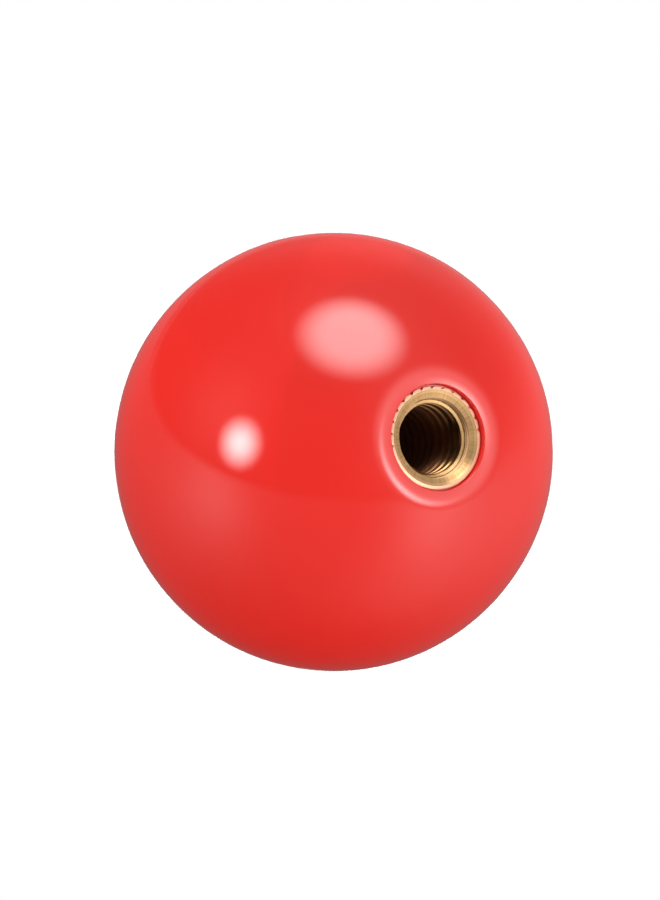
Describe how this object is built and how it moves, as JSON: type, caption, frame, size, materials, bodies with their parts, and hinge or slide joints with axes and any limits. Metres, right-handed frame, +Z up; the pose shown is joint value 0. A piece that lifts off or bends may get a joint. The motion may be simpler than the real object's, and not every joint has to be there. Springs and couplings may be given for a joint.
{
  "type": "joystick ball top",
  "caption": "Glossy round ball top that screws onto a joystick lever, moulded round a knurled brass bush with a blind metric thread in its flat mouth.",
  "frame": {"origin": "centre of the flat at the threaded mouth, which is also the lowest point of the ball as it stands", "axes": "+Z up the bore axis from the mouth to the crown; the knurl has a valley on +X"},
  "size_m": [0.035, 0.035, 0.0342],
  "materials": {
    "red_plastic": "moulded and polished, high gloss",
    "turned_brass": "turned, with fine tool marks"
  },
  "bodies": {
    "root": {"ball": "red_plastic", "threaded_insert": "turned_brass"}
  },
  "joints": []
}
